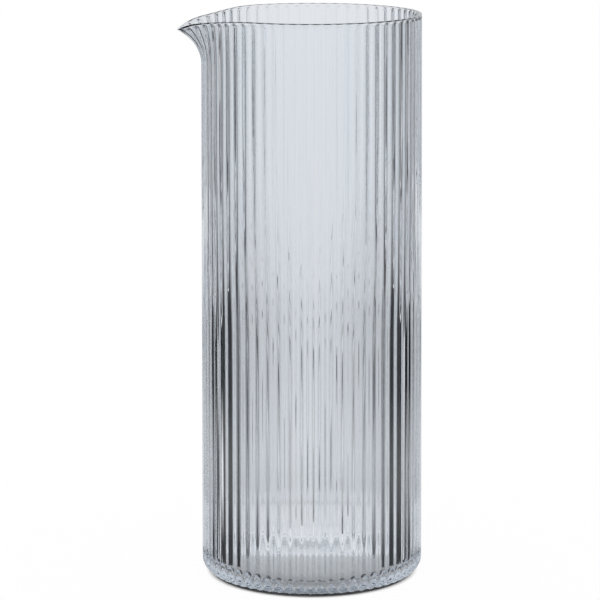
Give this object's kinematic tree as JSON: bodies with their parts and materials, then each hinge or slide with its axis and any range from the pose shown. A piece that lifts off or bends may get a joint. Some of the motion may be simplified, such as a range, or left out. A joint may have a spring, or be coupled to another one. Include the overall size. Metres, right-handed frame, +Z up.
{
  "type": "handleless glass jug",
  "caption": "Tall straight glass jug without a handle, ribbed all round, with a pulled pouring lip and a flat base.",
  "frame": {"origin": "middle of the flat underside, on the axis of the body", "axes": "+Z up along the axis of the body, -X towards the tip of the pouring lip"},
  "size_m": [0.1019, 0.093, 0.236],
  "materials": {
    "glass": "clear, pale blue-grey, fire-polished"
  },
  "bodies": {
    "root": {"jug_body": "glass"}
  },
  "joints": []
}
